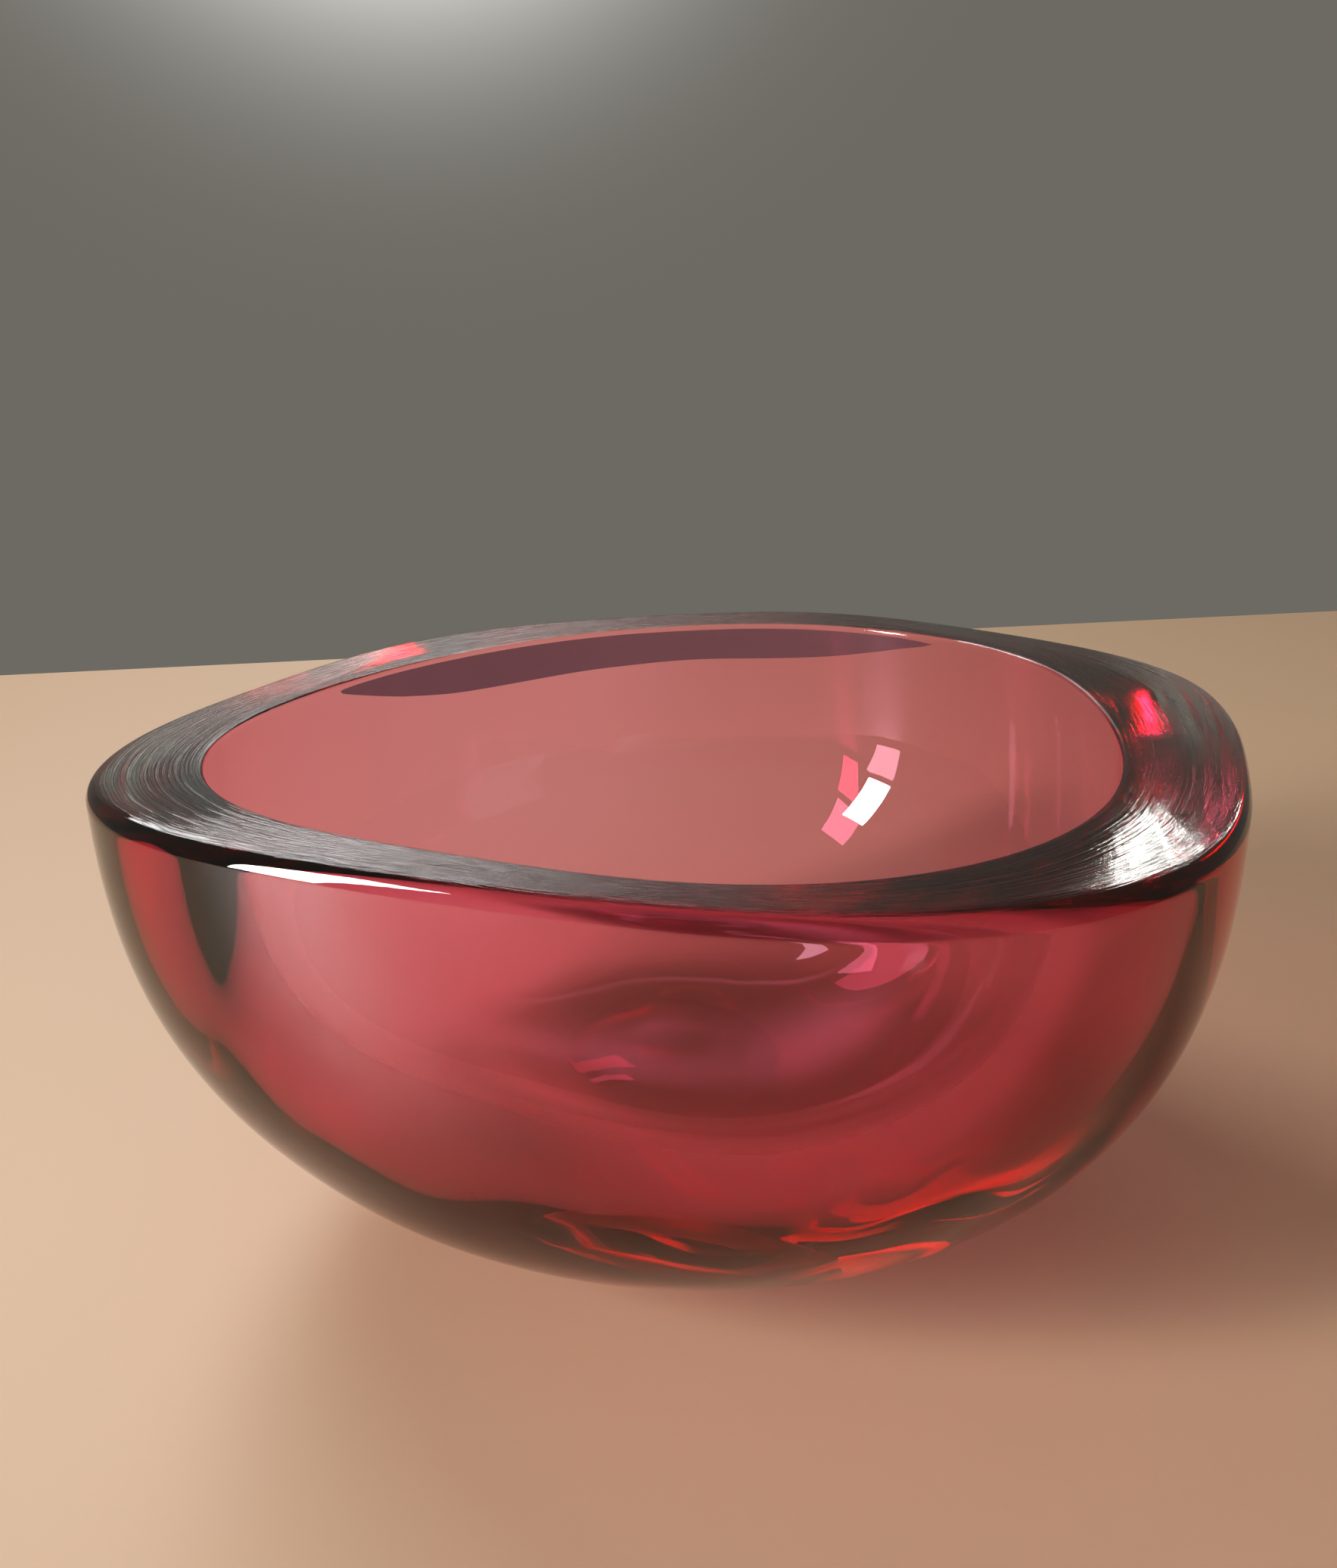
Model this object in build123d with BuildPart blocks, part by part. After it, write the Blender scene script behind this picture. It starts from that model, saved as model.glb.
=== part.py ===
# Art glass bowl, hand made in cased glass.
# A thin ruby layer lines the hollow, and a thick clear casing covers it outside.
# The hot glass was pushed into a soft rounded square, then the rim and base were ground flat.
# Millimetres. The origin is the centre of the ground base, +Z is up and -Y is the bowl's front.

import os
from math import acos, asin, copysign, cos, pi, radians, sin

from build123d import *

# Driving dimensions
HEIGHT = 58.5            # from the ground base to the flat rim
WIDEST_HEIGHT = 49.7     # the outside draws in a little above this
OUTER_RADIUS = 62.2      # mean radius of the outside where it is widest
HOLLOW_RADIUS = 51.3     # mean radius of the hollow where it is widest
FLOOR_THICKNESS = 9.5    # glass under the middle of the hollow
RUBY_THICKNESS = 1.2     # the coloured layer
GROUND_OFF = 1.35        # how much of the round bottom the wheel took off
FULLNESS = 2.34          # exponent of the side view: 2 is an ellipse, and more is fuller

# The plan isn't round. Each entry gives a number of soft corners, how far they stand out
# of the mean circle at the rim, and the direction of one of them in degrees from +X.
OUTER_CORNERS = ((2, 3.3, -27), (3, 2.5, 67), (4, 1.9, 20), (5, 0.7, -4), (6, 1.0, 7))
HOLLOW_CORNERS = ((2, 1.0, -35), (3, 2.7, 60), (4, 1.0, 21))
OUTER_FADE = 0.77        # how quickly the outside's corners die away below the rim
HOLLOW_FADE = 0.45       # the hollow keeps its corners further down

# The outside leans over its base, and the hollow isn't quite in its middle
RIM_LEAN = (2.1, -0.9)
HOLLOW_OFFSET = (-0.6, -1.6)

# Softened edges
OUTER_EDGE_RADIUS = 1.8
INNER_EDGE_RADIUS = 0.7
BASE_EDGE_RADIUS = 0.8

# Fineness of the lofted surfaces
SECTIONS = 9
OUTLINE_POINTS = 32
SMALLEST_SHARE = 0.12    # the hollow's lowest section, as a share of its widest radius


def outline(height, radius, corners, fade, share, offset):
    """The bowl's outline at one height, as a sketch on that level."""
    rise = height / HEIGHT
    points = []
    for step in range(OUTLINE_POINTS):
        angle = 2 * pi * step / OUTLINE_POINTS
        bumps = sum(size * cos(count * (angle - radians(way))) for count, size, way in corners)
        reach = share * (radius + rise**fade * bumps)
        x = reach * cos(angle) + rise * (RIM_LEAN[0] + offset[0])
        y = reach * sin(angle) + rise * (RIM_LEAN[1] + offset[1])
        points.append((x, y))
    with BuildSketch(Plane.XY.offset(height)) as level:
        with BuildLine():
            Spline(*points, periodic=True)
        make_face()
    return level.sketch


def bowl_sections(bottom, first_angle, radius, corners, fade, offset):
    """Outlines up to the rim, evenly spaced round a superellipse that is lowest at bottom."""
    depth = WIDEST_HEIGHT - bottom
    rim_angle = pi - acos(((HEIGHT - WIDEST_HEIGHT) / depth) ** (FULLNESS / 2))
    sections = []
    for step in range(SECTIONS):
        angle = first_angle + (rim_angle - first_angle) * step / (SECTIONS - 1)
        share = sin(angle) ** (2 / FULLNESS)
        drop = copysign(abs(cos(angle)) ** (2 / FULLNESS), cos(angle))
        height = WIDEST_HEIGHT - depth * drop
        sections.append(outline(height, radius, corners, fade, share, offset))
    return sections


def outside_sections():
    """The outside, from the ground base to the rim."""
    base_drop = WIDEST_HEIGHT / (WIDEST_HEIGHT + GROUND_OFF)
    base_angle = acos(base_drop ** (FULLNESS / 2))
    return bowl_sections(-GROUND_OFF, base_angle, OUTER_RADIUS, OUTER_CORNERS, OUTER_FADE, (0, 0))


def hollow_sections(grown):
    """The hollow, or the surface that lies a grown distance behind its wall."""
    lowest_angle = asin(SMALLEST_SHARE ** (FULLNESS / 2))
    bottom = FLOOR_THICKNESS - grown
    radius = HOLLOW_RADIUS + grown
    return bowl_sections(bottom, lowest_angle, radius, HOLLOW_CORNERS, HOLLOW_FADE, HOLLOW_OFFSET)


def rim_edges(part):
    """The edges of the flat rim, from the inner one to the outer one."""
    return part.faces().sort_by(Axis.Z)[-1].edges().sort_by(SortBy.LENGTH)


# The clear casing: the outside, the base and most of the rim
with BuildPart() as clear_casing:
    loft(sections=outside_sections())
    loft(sections=hollow_sections(RUBY_THICKNESS), mode=Mode.SUBTRACT)
    fillet(rim_edges(clear_casing.part)[-1], OUTER_EDGE_RADIUS)
    fillet(clear_casing.faces().sort_by(Axis.Z)[0].edges(), BASE_EDGE_RADIUS)
clear_casing.part.label = "clear_casing"

# The ruby layer: an even skin round the hollow, up to the rim's inner edge
with BuildPart() as ruby_layer:
    loft(sections=hollow_sections(RUBY_THICKNESS))
    loft(sections=hollow_sections(0), mode=Mode.SUBTRACT)
    fillet(rim_edges(ruby_layer.part)[0], INNER_EDGE_RADIUS)
ruby_layer.part.label = "ruby_layer"

os.makedirs("parts", exist_ok=True)
export_step(clear_casing.part, "parts/clear_casing.step")
export_step(ruby_layer.part, "parts/ruby_layer.step")

for piece in (clear_casing.part, ruby_layer.part):
    size = piece.bounding_box().size
    print(piece.label, round(piece.volume / 1000, 1), "cm3", [round(v, 2) for v in size], piece.is_valid)
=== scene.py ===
# %% [markdown]
# # A bowl of cased glass
#
# The real bowl is blown, not assembled. The maker gathers a little ruby glass on the pipe, dips it
# in clear glass until the wall is about a centimetre thick, and pushes the hot bubble into a soft,
# rounded square. Cold, it is cut open, and its rim and base are ground flat and polished.
#
# Glass is the hardest material to fake, because nearly all of its colour comes from what light
# does inside it. So this lesson builds the layers as real volumes, and lets them do the work.
#
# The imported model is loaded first. It fixes every size and place.

# %% Load the frame
from math import atan2, cos, pi, radians

import bmesh
import bpy
from mathutils import Matrix, Vector


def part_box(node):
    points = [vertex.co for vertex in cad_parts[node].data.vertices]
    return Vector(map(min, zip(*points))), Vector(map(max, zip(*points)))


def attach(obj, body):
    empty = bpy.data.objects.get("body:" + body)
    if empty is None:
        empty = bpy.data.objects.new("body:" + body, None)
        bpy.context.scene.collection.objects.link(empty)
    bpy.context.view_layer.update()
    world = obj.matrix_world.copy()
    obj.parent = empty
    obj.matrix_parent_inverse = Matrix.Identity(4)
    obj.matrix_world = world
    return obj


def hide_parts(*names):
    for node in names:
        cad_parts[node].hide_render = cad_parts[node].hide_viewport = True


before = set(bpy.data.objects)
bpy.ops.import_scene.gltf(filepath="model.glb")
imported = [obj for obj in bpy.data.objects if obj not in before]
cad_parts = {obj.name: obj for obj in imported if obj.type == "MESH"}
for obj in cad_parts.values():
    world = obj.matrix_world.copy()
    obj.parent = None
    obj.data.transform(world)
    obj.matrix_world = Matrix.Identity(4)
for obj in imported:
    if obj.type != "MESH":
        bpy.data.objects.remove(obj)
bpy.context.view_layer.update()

# %% [markdown]
# ## What the frame tells us
#
# The casing's box gives the rim's height, and the vertices that lie on the table give the width of
# the ground base. The other values are the maker's: how thick the colour is, and how far the
# polisher rounded each edge.

# %% Sizes
MM = 0.001
casing_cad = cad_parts["clear_casing"]
ruby_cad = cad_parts["ruby_layer"]

LEVEL = 0.01 * MM              # heights that differ by less than this are the same level
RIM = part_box("clear_casing")[1].z
BASE_RADIUS = max(v.co.xy.length for v in casing_cad.data.vertices if v.co.z < LEVEL)

RUBY_THICKNESS = 1.2 * MM
RUBY_DEPTH = 0.08 * MM         # clear skin left over the ruby, so that the two surfaces never meet
OUTER_ROUND = 1.8 * MM
INNER_ROUND = 0.7 * MM
BASE_ROUND = 0.25 * MM

SEGMENTS = 64                  # steps round the bowl
RINGS = 32                     # steps from pole to pole of the balls that are pressed
SMOOTHING = 2                  # subdivision levels

hollow_low, hollow_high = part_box("ruby_layer")
HOLLOW_MIDDLE = (hollow_low + hollow_high) / 2
print("rim", round(RIM / MM, 2), "mm high; base", round(2 * BASE_RADIUS / MM, 1), "mm across")

# %% [markdown]
# ## The camera
#
# It comes first, because it says which details are worth making. It looks down at the bowl from
# close by, like a phone held over a table, and it is turned a little on its own axis.

# %% Camera
CAMERA_PLACE = Vector((0.1, -154.3, 100.9)) * MM
CAMERA_PITCH = radians(18.53)
CAMERA_ROLL = radians(2.76)
CAMERA_LENS = 30.75            # millimetres, on the default 36 mm sensor

bpy.ops.object.camera_add(location=CAMERA_PLACE)
camera = bpy.context.object
camera.name = "camera"
turn = Matrix.Rotation(pi / 2 - CAMERA_PITCH, 4, "X") @ Matrix.Rotation(-CAMERA_ROLL, 4, "Z")
camera.rotation_euler = turn.to_euler()
camera.data.lens = CAMERA_LENS
camera.data.clip_start = 0.005
camera.data.clip_end = 20
bpy.context.scene.camera = camera
print("camera", round(CAMERA_PLACE.length / MM), "mm from the base")

# %% [markdown]
# ## Helpers for work by hand
#
# Most operators act on the active object and on whatever is selected. So one helper makes a piece
# the only selected one, and another selects its vertices by their place.

# %% Selection
def take(piece):
    """Makes one piece the active and only selected object."""
    bpy.ops.object.select_all(action="DESELECT")
    piece.select_set(True)
    bpy.context.view_layer.objects.active = piece


def pick(test):
    """In edit mode, selects the vertices whose place passes the test, with the edges between them."""
    bpy.ops.mesh.select_mode(type="VERT")
    bpy.ops.mesh.select_all(action="DESELECT")
    data = bpy.context.object.data
    mesh = bmesh.from_edit_mesh(data)
    found = [v for v in mesh.verts if test(v.co)]
    for v in found:
        v.select_set(True)
    mesh.select_flush(True)
    bmesh.update_edit_mesh(data)
    return len(found)


# %% [markdown]
# ## Press a ball onto the mould
#
# A bowl's surface is closest to a ball, so each surface starts as a UV sphere. A Shrinkwrap modifier
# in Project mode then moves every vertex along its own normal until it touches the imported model,
# which acts as the mould. A ball outside the bowl is projected inwards, and one in the hollow
# outwards. The equator lies just under the rounded edge of the rim, so its ring stays level.
#
# A UV sphere's pole is a bad place for glass: many thin triangles meet there and bend light
# unevenly. The pole is cut off and the hole is closed with a grid of four-sided faces.

# %% Press
def press(name, mould, centre, radius, inwards, lowest_ring):
    """A ball pressed onto a mould, with its upper half and its pole cut away."""
    bpy.ops.mesh.primitive_uv_sphere_add(
        segments=SEGMENTS, ring_count=RINGS, radius=radius, location=centre)
    cup = bpy.context.object
    cup.name = name
    take(cup)
    bpy.ops.object.transform_apply(location=True, rotation=True, scale=True)

    # Mark what is kept before the ball loses its shape: an angle up from the lower pole
    ring_step = pi / RINGS
    kept_angle = (lowest_ring - 0.5) * ring_step
    pole_height = centre.z - radius * cos(kept_angle)
    keep = cup.vertex_groups.new(name="keep")
    kept = [v.index for v in cup.data.vertices if pole_height < v.co.z < centre.z + LEVEL]
    keep.add(kept, 1, "REPLACE")

    wrap = cup.modifiers.new("mould", "SHRINKWRAP")
    wrap.target = mould
    wrap.wrap_method = "PROJECT"
    wrap.use_negative_direction = inwards
    wrap.use_positive_direction = not inwards
    bpy.ops.object.modifier_apply(modifier=wrap.name)

    bpy.ops.object.mode_set(mode="EDIT")
    bpy.ops.mesh.select_all(action="DESELECT")
    bpy.ops.object.vertex_group_set_active(group="keep")
    bpy.ops.object.vertex_group_select()
    bpy.ops.mesh.select_all(action="INVERT")
    bpy.ops.mesh.delete(type="VERT")
    bpy.ops.object.vertex_group_remove(all=True)
    bpy.ops.object.mode_set(mode="OBJECT")
    print(name, len(cup.data.vertices), "vertices pressed")
    return cup


# %% [markdown]
# The outside is pressed from a ball that is wider than the bowl, and its lowest ring lies just above
# the base. The hollow is pressed from a small ball that swells until it fills it.

# %% Press the two surfaces
BELOW_ROUND = 0.2 * MM         # how far the top rings keep clear of the rounded edges
BIG_BALL, SMALL_BALL = 80 * MM, 20 * MM

outside_centre = Vector((0, 0, RIM - OUTER_ROUND - BELOW_ROUND))
outside = press("outside", casing_cad, outside_centre, BIG_BALL, inwards=True, lowest_ring=4)

hollow_centre = Vector((HOLLOW_MIDDLE.x, HOLLOW_MIDDLE.y, RIM - INNER_ROUND - BELOW_ROUND))
hollow = press("hollow", ruby_cad, hollow_centre, SMALL_BALL, inwards=False, lowest_ring=3)

# %% [markdown]
# ## Leave the wall a little uneven
#
# Glass that is turned and pressed by hand is never quite even. The wall swells and dips by about a
# tenth of a millimetre, too little to see in its outline, but thick glass works as a lens and the
# dips show as soft swirls in the colour behind. A Displace modifier does this with a soft clouds
# texture. It only moves the wall inwards, so the bowl grows nowhere.

# %% Uneven wall
WAVE_LENGTH, WAVE_DEPTH = 14 * MM, 0.14 * MM
take(outside)
waves = bpy.data.textures.new("waves", type="CLOUDS")
waves.noise_scale = WAVE_LENGTH
waves.noise_depth = 0
unevenness = outside.modifiers.new("unevenness", "DISPLACE")
unevenness.texture = waves
unevenness.mid_level = 0
unevenness.strength = -WAVE_DEPTH
bpy.ops.object.modifier_apply(modifier=unevenness.name)
print("the wall dips by up to", WAVE_DEPTH / MM, "mm")

# %% [markdown]
# ## Cut the base flat and close the bottoms
#
# The wheel ground the round bottom off the real bowl. Here the lowest ring is extruded once, drawn
# in to the base's width and pressed flat onto the table's level, and the disc inside it is filled.

# %% Work on a cup's open ring
def open_ring(piece, at_top):
    """Selects the open ring of a cup's top or bottom, and gives its mean height and radius."""
    bpy.ops.mesh.select_mode(type="EDGE")
    bpy.ops.mesh.select_all(action="DESELECT")
    mesh = bmesh.from_edit_mesh(piece.data)
    middle = (min(v.co.z for v in mesh.verts) + max(v.co.z for v in mesh.verts)) / 2
    ring = [e for e in mesh.edges if e.is_boundary and (e.verts[0].co.z > middle) == at_top]
    for e in ring:
        e.select_set(True)
    bmesh.update_edit_mesh(piece.data)
    places = [v.co for e in ring for v in e.verts]
    centre = sum(places, Vector()) / len(places)
    radius = sum((p - centre).xy.length for p in places) / len(places)
    return centre, radius


def extrude_ring(piece, at_top, height, scale):
    """Extrudes a cup's open ring to a height, and scales it about its own middle."""
    centre = open_ring(piece, at_top)[0]
    bpy.ops.mesh.extrude_region_move(TRANSFORM_OT_translate={"value": (0, 0, height - centre.z)})
    bpy.ops.transform.resize(value=(scale, scale, 1), center_override=(centre.x, centre.y, height))
    bpy.ops.transform.resize(value=(1, 1, 0), center_override=(centre.x, centre.y, height))


# %% Base
take(outside)
bpy.ops.object.mode_set(mode="EDIT")
ring_radius = open_ring(outside, False)[1]
extrude_ring(outside, False, 0, BASE_RADIUS / ring_radius)
open_ring(outside, False)
bpy.ops.mesh.fill_grid(span=SEGMENTS // 4)
bpy.ops.object.mode_set(mode="OBJECT")
print("base ring drawn in from", round(ring_radius / MM, 1), "mm")

# %% [markdown]
# The hollow's floor has no edge at all. Its hole is filled in the same way, but a filled grid is
# flat, so the floor is pressed onto the mould once more, this time straight up and down.

# %% Floor of the hollow
FLOOR_RISE = 6 * MM            # how much of the hollow's bottom is pressed again

take(hollow)
bpy.ops.object.mode_set(mode="EDIT")
open_ring(hollow, False)
bpy.ops.mesh.fill_grid(span=SEGMENTS // 4)
bpy.ops.object.mode_set(mode="OBJECT")

wrap = hollow.modifiers.new("mould", "SHRINKWRAP")
wrap.target = ruby_cad
wrap.wrap_method = "PROJECT"
wrap.use_project_z = True
wrap.use_negative_direction = True
wrap.use_positive_direction = True
floor_group = hollow.vertex_groups.new(name="floor")
floor_height = min(v.co.z for v in hollow.data.vertices) + FLOOR_RISE
floor_group.add([v.index for v in hollow.data.vertices if v.co.z < floor_height], 1, "REPLACE")
wrap.vertex_group = "floor"
bpy.ops.object.modifier_apply(modifier=wrap.name)
print("hollow's floor at", round(min(v.co.z for v in hollow.data.vertices) / MM, 2), "mm")

# %% [markdown]
# ## Two skins for the ruby
#
# The ruby layer is an even skin just behind the hollow, so its two surfaces are copies of the
# hollow that Shrink/Fatten moves out along their normals, by hand the same as pulling a shell off a
# mould. The walls go on drawing in a little above the last ring, up to the level of the rim.

# %% Copies of the hollow
DRAW_IN = 0.9965               # how much narrower a wall is at the rim than at its last ring


def copied(piece, name, outwards):
    """A copy of a cup with its own mesh, grown outwards along its normals."""
    take(piece)
    bpy.ops.object.duplicate()
    copy = bpy.context.object
    copy.name = name
    bpy.ops.object.mode_set(mode="EDIT")
    bpy.ops.mesh.select_all(action="SELECT")
    bpy.ops.transform.shrink_fatten(value=outwards)
    bpy.ops.object.mode_set(mode="OBJECT")
    return copy


ruby_front = copied(hollow, "ruby_front", RUBY_DEPTH)
ruby_back = copied(hollow, "ruby_back", RUBY_DEPTH + RUBY_THICKNESS)
ruby_top = RIM - RUBY_DEPTH
for cup, top in ((outside, RIM), (hollow, RIM), (ruby_front, ruby_top), (ruby_back, ruby_top)):
    take(cup)
    bpy.ops.object.mode_set(mode="EDIT")
    extrude_ring(cup, True, top, DRAW_IN)
    bpy.ops.object.mode_set(mode="OBJECT")
    print(cup.name, "reaches", round(cup.dimensions.x / MM, 1), "mm wide")

# %% [markdown]
# ## Find the edges to round
#
# The polisher rounded the rim's edges, more on the outside than towards the hollow, and just broke
# the base's edge. The Bevel tool does the same. It needs the right edges selected, and an edge is
# best known by its two faces: here the flatter of the two comes first, and then the steeper one.

# %% Round edges
RIM_FLAT, WALL_STEEP = 0.95, 0.7       # how level a face's normal is on the rim, and at most on a wall
BASE_FLAT, BASE_BEND = 0.9999, 0.9995  # the same at the base, where the wall starts almost level


def pick_edges(test):
    """In edit mode, selects the edges between two faces that pass the test, flatter face first."""
    bpy.ops.mesh.select_mode(type="EDGE")
    bpy.ops.mesh.select_all(action="DESELECT")
    data = bpy.context.object.data
    mesh = bmesh.from_edit_mesh(data)
    found = 0
    for edge in mesh.edges:
        if len(edge.link_faces) == 2:
            flat, steep = sorted(edge.link_faces, key=lambda face: -abs(face.normal.z))
            if test(flat, steep):
                edge.select_set(True)
                found += 1
    bmesh.update_edit_mesh(data)
    return found


def round_edges(test, radius, segments):
    """Bevels the edges that pass the test. On a corner near a right angle, the offset is the radius."""
    found = pick_edges(test)
    bpy.ops.mesh.bevel(offset=radius, offset_type="OFFSET", segments=segments, affect="EDGES")
    print("  rounded", found, "edges by", round(radius / MM, 2), "mm")


def faces_out(face):
    """Whether a face looks away from the bowl's axis."""
    return face.normal.xy.dot(face.calc_center_median().xy) > 0


def is_rim(flat, steep):
    """Between the flat rim and a wall."""
    return (flat.normal.z > RIM_FLAT and abs(steep.normal.z) < WALL_STEEP
            and flat.calc_center_median().z > RIM - MM)


def is_outer_rim(flat, steep):
    return is_rim(flat, steep) and faces_out(steep)


def is_inner_rim(flat, steep):
    return is_rim(flat, steep) and not faces_out(steep)


def is_base(flat, steep):
    """Between the ground base and the wall."""
    return (flat.normal.z < -BASE_FLAT and steep.normal.z > -BASE_BEND
            and flat.calc_center_median().z < LEVEL)


# %% [markdown]
# ## Join two cups into one glass
#
# Each glass is two cups joined and bridged across the rim, so it is one closed skin round a real
# volume. Light only bends and fades as in glass if the skin is closed and its faces look outwards,
# so the inner cup is turned inside out before the two are joined. The bridge keeps three extra
# loops, which hold the rim flat when the piece is subdivided.

# %% Close the glass
RIM_LOOPS = 3
DOUBLES = 0.001 * MM


def close_glass(outer_cup, inner_cup, name):
    """Joins two cups across the rim into one closed skin with its faces outwards."""
    take(inner_cup)
    bpy.ops.object.mode_set(mode="EDIT")
    bpy.ops.mesh.select_all(action="SELECT")
    bpy.ops.mesh.flip_normals()
    bpy.ops.object.mode_set(mode="OBJECT")
    take(outer_cup)
    inner_cup.select_set(True)
    bpy.ops.object.join()
    outer_cup.name = name
    bpy.ops.object.mode_set(mode="EDIT")
    top = max(v.co.z for v in bmesh.from_edit_mesh(outer_cup.data).verts)
    pick(lambda place: place.z > top - LEVEL)
    bpy.ops.mesh.bridge_edge_loops(number_cuts=RIM_LOOPS, interpolation="LINEAR")
    bpy.ops.mesh.select_all(action="SELECT")
    bpy.ops.mesh.remove_doubles(threshold=DOUBLES)
    bpy.ops.mesh.normals_make_consistent(inside=False)
    bpy.ops.object.mode_set(mode="OBJECT")
    return outer_cup


# %% [markdown]
# A Subdivision modifier then turns the coarse cage into a smooth skin. The printed number of open
# edges must be 0, and the volume shows that the right side is inside.

# %% Smooth the cage
def smooth(piece):
    """Subdivides a finished cage and shades it smooth."""
    take(piece)
    finer = piece.modifiers.new("smoothing", "SUBSURF")
    finer.levels = finer.render_levels = SMOOTHING
    bpy.ops.object.modifier_apply(modifier=finer.name)
    bpy.ops.object.shade_smooth()
    mesh = bmesh.new()
    mesh.from_mesh(piece.data)
    open_edges = sum(1 for e in mesh.edges if not e.is_manifold)
    print(piece.name, len(mesh.faces), "faces,", open_edges, "open edges,",
          round(mesh.calc_volume(signed=True) / MM**3 / 1000, 1), "cm3")
    mesh.free()


# %% [markdown]
# ## The two glasses
#
# The casing glass takes in the whole body, with the hollow's surface. The ruby glass is the thin
# shell inside it. Only its inner edge at the rim is rounded, where it follows the casing's.

# %% Casing glass
casing = close_glass(outside, hollow, "casing_glass")
take(casing)
bpy.ops.object.mode_set(mode="EDIT")
round_edges(is_outer_rim, OUTER_ROUND, segments=4)
round_edges(is_inner_rim, INNER_ROUND, segments=3)
round_edges(is_base, BASE_ROUND, segments=2)
bpy.ops.object.mode_set(mode="OBJECT")
smooth(casing)

# %% Ruby glass
ruby = close_glass(ruby_back, ruby_front, "ruby_glass")
take(ruby)
bpy.ops.object.mode_set(mode="EDIT")
round_edges(is_inner_rim, INNER_ROUND, segments=3)
bpy.ops.object.mode_set(mode="OBJECT")
smooth(ruby)

# %% [markdown]
# ## A ruler for the rim
#
# The polisher's lines run along the rim, and the rim is neither round nor equally wide. So each
# vertex is given the share of the rim's width at which it lies, from the hollow's edge to the outer
# one, and the material reads it. The two edges are looked up by direction on the flat itself.

# %% Share across the rim
RULER_STEPS = 96
FLAT_DEPTH = 0.02 * MM


def ruler_step(place):
    """The direction of a place from the bowl's axis, in steps of the ruler."""
    return atan2(place.y, place.x) / (2 * pi) % 1 * RULER_STEPS


def share_across(piece):
    """Stores how far across the rim each vertex lies, 0 at the hollow and 1 at the outside."""
    inner, outer = [1.0] * RULER_STEPS, [0.0] * RULER_STEPS
    for vertex in piece.data.vertices:
        if vertex.co.z > RIM - FLAT_DEPTH:
            step = int(ruler_step(vertex.co))
            inner[step] = min(inner[step], vertex.co.xy.length)
            outer[step] = max(outer[step], vertex.co.xy.length)
    across = piece.data.attributes.new("across", "FLOAT", "POINT")
    for vertex in piece.data.vertices:
        turns = ruler_step(vertex.co) - 0.5
        here, part = int(turns // 1) % RULER_STEPS, turns % 1
        after = (here + 1) % RULER_STEPS
        near, far = [edge[here] * (1 - part) + edge[after] * part for edge in (inner, outer)]
        across.data[vertex.index].value = (vertex.co.xy.length - near) / (far - near)
    widths = [o - i for i, o in zip(inner, outer)]
    print("flat of the rim", round(min(widths) / MM, 1), "to", round(max(widths) / MM, 1), "mm wide")


share_across(casing)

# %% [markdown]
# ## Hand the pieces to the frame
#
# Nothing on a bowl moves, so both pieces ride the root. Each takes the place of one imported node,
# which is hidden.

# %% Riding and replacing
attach(casing, "root")
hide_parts("clear_casing")
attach(ruby, "root")
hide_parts("ruby_layer")

# %% [markdown]
# ## Colours and nodes
#
# Colours are written as they look on a screen, and one function makes them linear, which is what the
# renderer adds and multiplies. Another adds a node, sets it and links its inputs.

# %% Material helpers
def linear(hex_colour):
    """An sRGB hex colour such as '#C84B5A' as a linear RGBA colour."""
    parts = [int(hex_colour[i:i + 2], 16) / 255 for i in (1, 3, 5)]
    return (*[p / 12.92 if p <= 0.04045 else ((p + 0.055) / 1.055) ** 2.4 for p in parts], 1)


def add(owner, kind, inputs=(), **settings):
    """Adds a node with its settings. Each input is given a value, or another node's output."""
    tree = owner.node_tree
    made = tree.nodes.new(kind)
    for name, value in settings.items():
        setattr(made, name, value)
    for name, value in dict(inputs).items():
        if isinstance(value, bpy.types.NodeSocket):
            tree.links.new(value, made.inputs[name])
        else:
            made.inputs[name].default_value = value
    return made


def blank(name):
    """A material with no nodes yet."""
    material = bpy.data.materials.new(name)
    material.use_nodes = True
    material.node_tree.nodes.clear()
    return material


def wear(piece, material):
    """Gives a piece its one material."""
    piece.data.materials.clear()
    piece.data.materials.append(material)


# %% [markdown]
# ## The clear casing
#
# Fire-polished crystal: the flame melts the last tool marks away, so it has no roughness of its own.
# Its index is 1.52, and thick glass has a faint grey cast that only shows along the wall.
#
# The wheel that cut the rim left fine lines along it, which the polishing only softened. They are a
# bump, far too low to see as shape, and along some of them the glass stays a little rough.

# %% Clear casing: where a place lies on the rim
RIM_TOP, RIM_UNDER = RIM - 0.05 * MM, RIM - 0.4 * MM   # between these the rim's finish fades out

clear = blank("clear_crystal_fire_polished")
coordinates = add(clear, "ShaderNodeTexCoord").outputs["Object"]
height = add(clear, "ShaderNodeSeparateXYZ", {0: coordinates})
on_rim = add(clear, "ShaderNodeMapRange", {
    "Value": height.outputs["Z"], "From Min": RIM_UNDER, "From Max": RIM_TOP})
level = add(clear, "ShaderNodeVectorMath", {0: coordinates, 1: (1, 1, 0)}, operation="MULTIPLY")
way_round = add(clear, "ShaderNodeVectorMath", {0: level.outputs[0]}, operation="NORMALIZE")
way_parts = add(clear, "ShaderNodeSeparateXYZ", {0: way_round.outputs[0]})
across = add(clear, "ShaderNodeAttribute", attribute_name="across")

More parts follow.
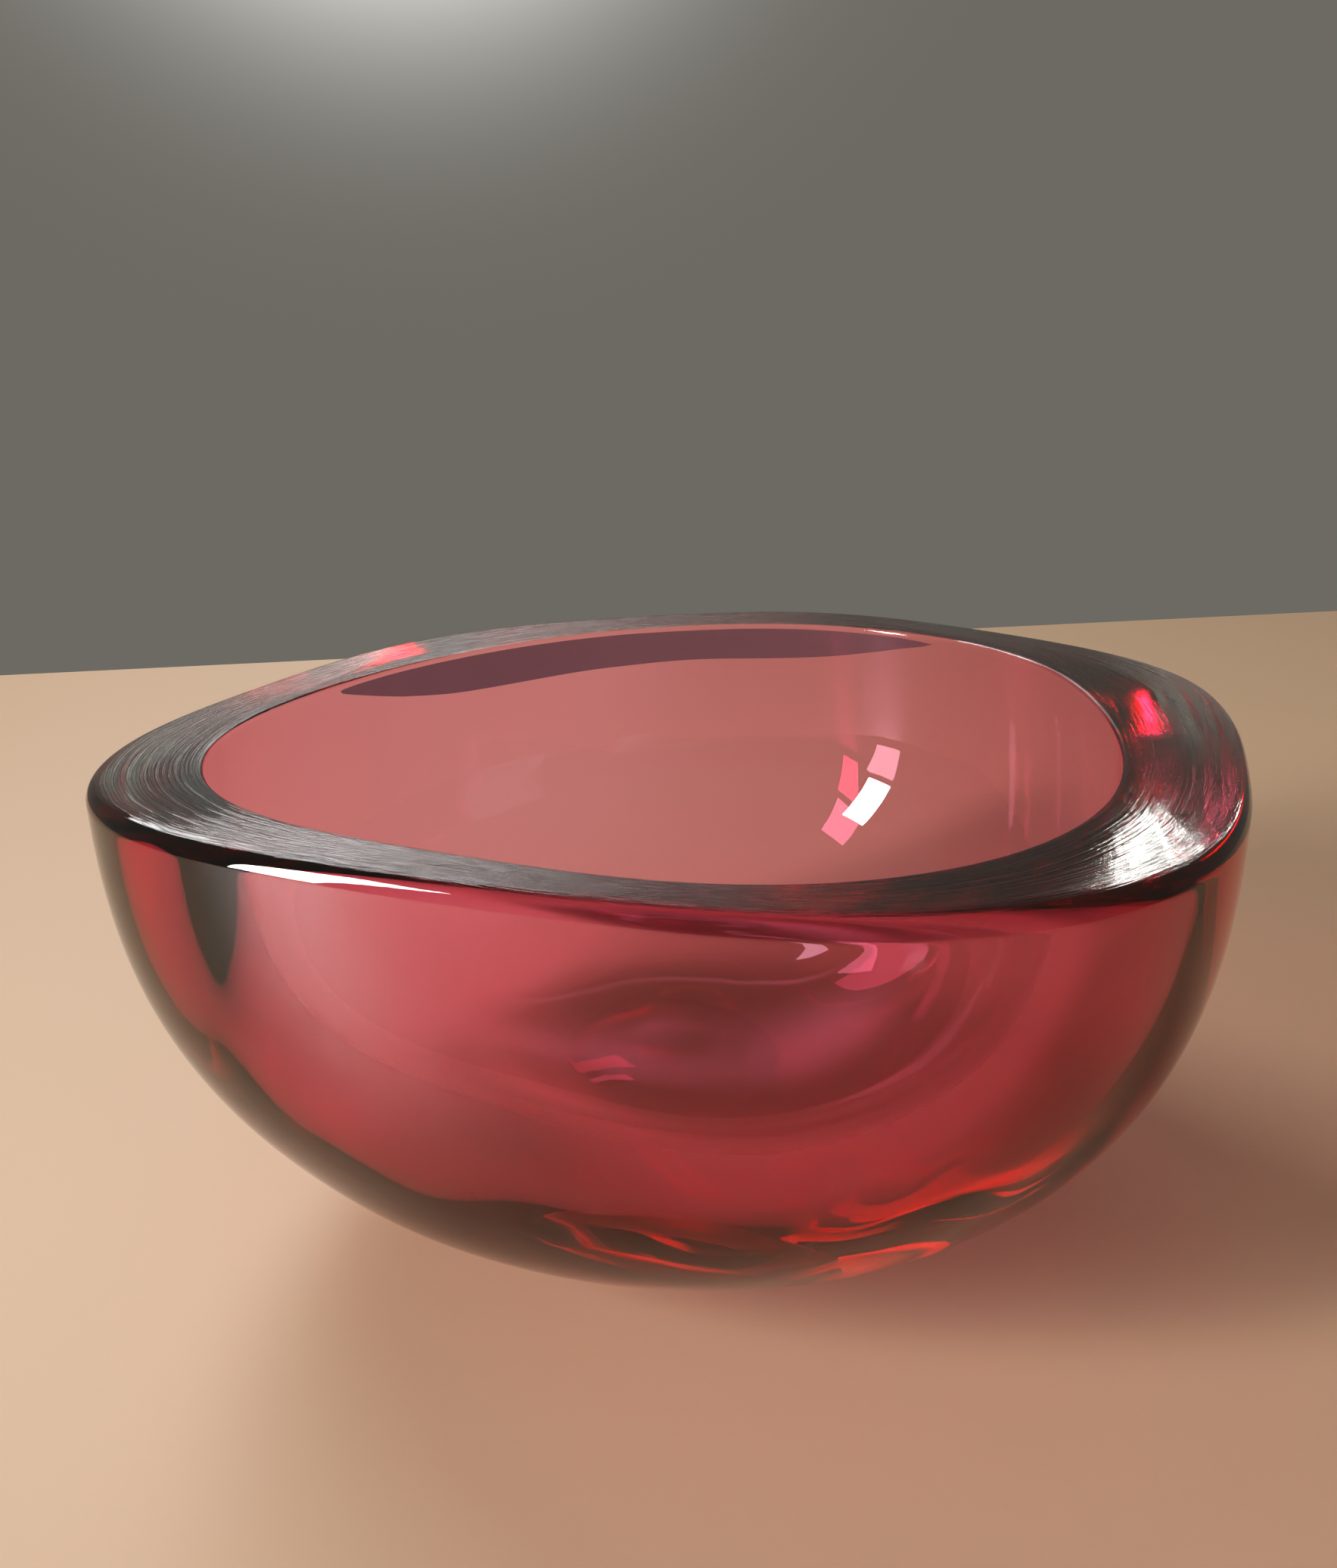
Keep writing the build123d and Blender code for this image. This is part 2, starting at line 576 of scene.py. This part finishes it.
# %% Clear casing: the wheel's lines
LINE_LENGTH, LINE_WIDTH, LINE_HEIGHT = 18 * MM, 0.35 * MM, 0.1 * MM
RIM_RADIUS, RIM_WIDTH = 58 * MM, 10 * MM               # about the middle of the rim
steps_round, steps_across = RIM_RADIUS / LINE_LENGTH, RIM_WIDTH / LINE_WIDTH

line_x = add(clear, "ShaderNodeMath", {0: way_parts.outputs["X"], 1: steps_round}, operation="MULTIPLY")
line_y = add(clear, "ShaderNodeMath", {0: way_parts.outputs["Y"], 1: steps_round}, operation="MULTIPLY")
line_z = add(clear, "ShaderNodeMath", {0: across.outputs["Fac"], 1: steps_across}, operation="MULTIPLY")
line_place = add(clear, "ShaderNodeCombineXYZ", {
    0: line_x.outputs[0], 1: line_y.outputs[0], 2: line_z.outputs[0]})
lines = add(clear, "ShaderNodeTexNoise", {
    "Vector": line_place.outputs[0], "Scale": 1.0, "Detail": 3.0, "Roughness": 0.6})
wheel_lines = add(clear, "ShaderNodeBump", {
    "Height": lines.outputs["Fac"], "Strength": on_rim.outputs[0], "Distance": LINE_HEIGHT})

# %% [markdown]
# The polishing felt slides over the lines unevenly. Along about half of them the glass keeps a faint
# grey haze, up to a roughness of 0.3, and the rest is clear.

# %% Clear casing: haze, surface and cast
HAZE_START, HAZE_FULL, HAZE = 0.5, 0.68, 0.3  # the first two are levels of the noise
haze = add(clear, "ShaderNodeMapRange", {
    "Value": lines.outputs["Fac"], "From Min": HAZE_START, "From Max": HAZE_FULL, "To Max": HAZE})
rim_haze = add(clear, "ShaderNodeMath", {
    0: haze.outputs[0], 1: on_rim.outputs[0]}, operation="MULTIPLY")

surface = add(clear, "ShaderNodeBsdfPrincipled", {
    "Base Color": linear("#FFFFFF"), "Roughness": rim_haze.outputs[0], "IOR": 1.52,
    "Transmission Weight": 1.0, "Normal": wheel_lines.outputs[0]})
cast = add(clear, "ShaderNodeVolumeAbsorption", {"Color": linear("#D8DAD0"), "Density": 4.0})
add(clear, "ShaderNodeOutputMaterial", {"Surface": surface.outputs[0], "Volume": cast.outputs[0]})
wear(casing, clear)

# %% [markdown]
# ## The ruby layer
#
# Gold ruby glass is stained through, so its colour is an absorption, not a paint: in 1.2 mm it
# swallows more than half of the green, less of the blue and hardly any red. So it is pink where it
# is crossed once, and deep red where it is crossed often. It is fused to the casing, and the two
# glasses bend light alike, so no light turns where they meet. Inside the casing that is an index of
# 1. Colour and density stand on the node's own sockets.

# %% Ruby layer
ruby_red = blank("gold_ruby_glass_fused")
surface = add(ruby_red, "ShaderNodeBsdfPrincipled", {
    "Base Color": linear("#FFFFFF"), "Roughness": 0.0, "IOR": 1.0, "Transmission Weight": 1.0})
stain = add(ruby_red, "ShaderNodeVolumeAbsorption", {"Color": linear("#F3339A"), "Density": 760.0})
add(ruby_red, "ShaderNodeOutputMaterial", {"Surface": surface.outputs[0], "Volume": stain.outputs[0]})
wear(ruby, ruby_red)

# %% [markdown]
# ## Table and studio light
#
# Glass shows only what is around it. So the stage is plain, but it has the few things that a glass
# photographer sets up. The first is a pale table that ends behind the bowl.

# %% Table
TABLE_BACK = 0.30
TABLE_REACH = 0.60
TABLE_THICK = 0.03
TABLE_GAP = 0.1 * MM           # polished surfaces never quite touch, so light still leaves the glass
bpy.ops.mesh.primitive_cube_add(
    size=1, location=(0, (TABLE_BACK - TABLE_REACH) / 2, -TABLE_THICK / 2 - TABLE_GAP))
table = bpy.context.object
table.name = "table"
table.scale = (2 * TABLE_REACH, TABLE_BACK + TABLE_REACH, TABLE_THICK)
take(table)
bpy.ops.object.transform_apply(location=True, rotation=True, scale=True)
pale = blank("pale_table")
surface = add(pale, "ShaderNodeBsdfPrincipled", {"Base Color": linear("#D6B290"), "Roughness": 0.5})
add(pale, "ShaderNodeOutputMaterial", {"Surface": surface.outputs[0]})
wear(table, pale)

# %% [markdown]
# The window is tall and stands at the left and a little in front. It draws the bright bar in the
# hollow and the wedge under the rim. Its grid aims it at the front of the table, so that the back
# grows darker. A weaker lamp high behind the bowl sends light through it, which reddens the shadow.

# %% Lights
def softbox(name, place, aim, size, power, spread=180):
    """A soft rectangular lamp, turned to face a point. A small spread is a grid on its front."""
    bpy.ops.object.light_add(type="AREA", location=place)
    lamp = bpy.context.object
    lamp.name = name
    lamp.rotation_euler = (Vector(place) - Vector(aim)).to_track_quat("Z", "Y").to_euler()
    lamp.data.shape = "RECTANGLE"
    lamp.data.size, lamp.data.size_y = size
    lamp.data.energy = power
    lamp.data.spread = radians(spread)
    print(name, round((Vector(place) - Vector(aim)).length, 2), "m from where it points")


BOWL_MIDDLE = (0, 0, RIM / 2)
TABLE_FRONT = (0.05, -0.3, 0)
softbox("window", (-0.92, -0.37, 0.34), TABLE_FRONT, size=(0.18, 0.64), power=5.2, spread=95)
softbox("back_light", (-0.4, 0.55, 0.6), BOWL_MIDDLE, size=(0.44, 0.34), power=3.6)

# %% [markdown]
# The rest of the room is an even dark grey, which draws the glass's edges. One soft glow high behind
# the bowl gives the flat rim its silver. It is strongest one way and falls off as a high power of
# the cosine, so it has no edge. The maximum keeps the power from making a second glow opposite.

# %% Surroundings
GLOW_WAY = Vector((-0.13, 0.9, 0.42)).normalized()
GLOW_TIGHTNESS = 80
GLOW_COLOUR = (2.9, 2.85, 2.75, 1)     # brighter than white paper, so it has no hex value
ROOM_GREY = linear("#6C6A63")

world = bpy.data.worlds.new("studio")
world.use_nodes = True
world.node_tree.nodes.clear()
bpy.context.scene.world = world
look = add(world, "ShaderNodeTexCoord")
near_glow = add(world, "ShaderNodeVectorMath", {
    0: look.outputs["Generated"], 1: GLOW_WAY}, operation="DOT_PRODUCT")
ahead = add(world, "ShaderNodeMath", {0: near_glow.outputs["Value"], 1: 0}, operation="MAXIMUM")
glow = add(world, "ShaderNodeMath", {0: ahead.outputs[0], 1: GLOW_TIGHTNESS}, operation="POWER")
shade = add(world, "ShaderNodeMix", {
    "Factor": glow.outputs[0], 6: ROOM_GREY, 7: GLOW_COLOUR}, data_type="RGBA")
room = add(world, "ShaderNodeBackground", {"Color": shade.outputs[2], "Strength": 1.0})
add(world, "ShaderNodeOutputWorld", {"Surface": room.outputs[0]})

# %% [markdown]
# ## Light paths
#
# In a thick wall much of the light is caught: it meets the surface so flat that it is thrown back,
# time after time, and circles in the wall until it finds a way out. A ray that runs out of bounces
# ends black, and the default leaves grey blots where the real wall glows red. Light thrown back
# inside glass counts as glossy, so that number is raised too.

# %% Light paths
BOUNCES = 160
scene = bpy.context.scene
scene.cycles.max_bounces = BOUNCES
scene.cycles.transmission_bounces = BOUNCES
scene.cycles.glossy_bounces = BOUNCES
scene.view_settings.view_transform = "Standard"
print("light may bounce", BOUNCES, "times")
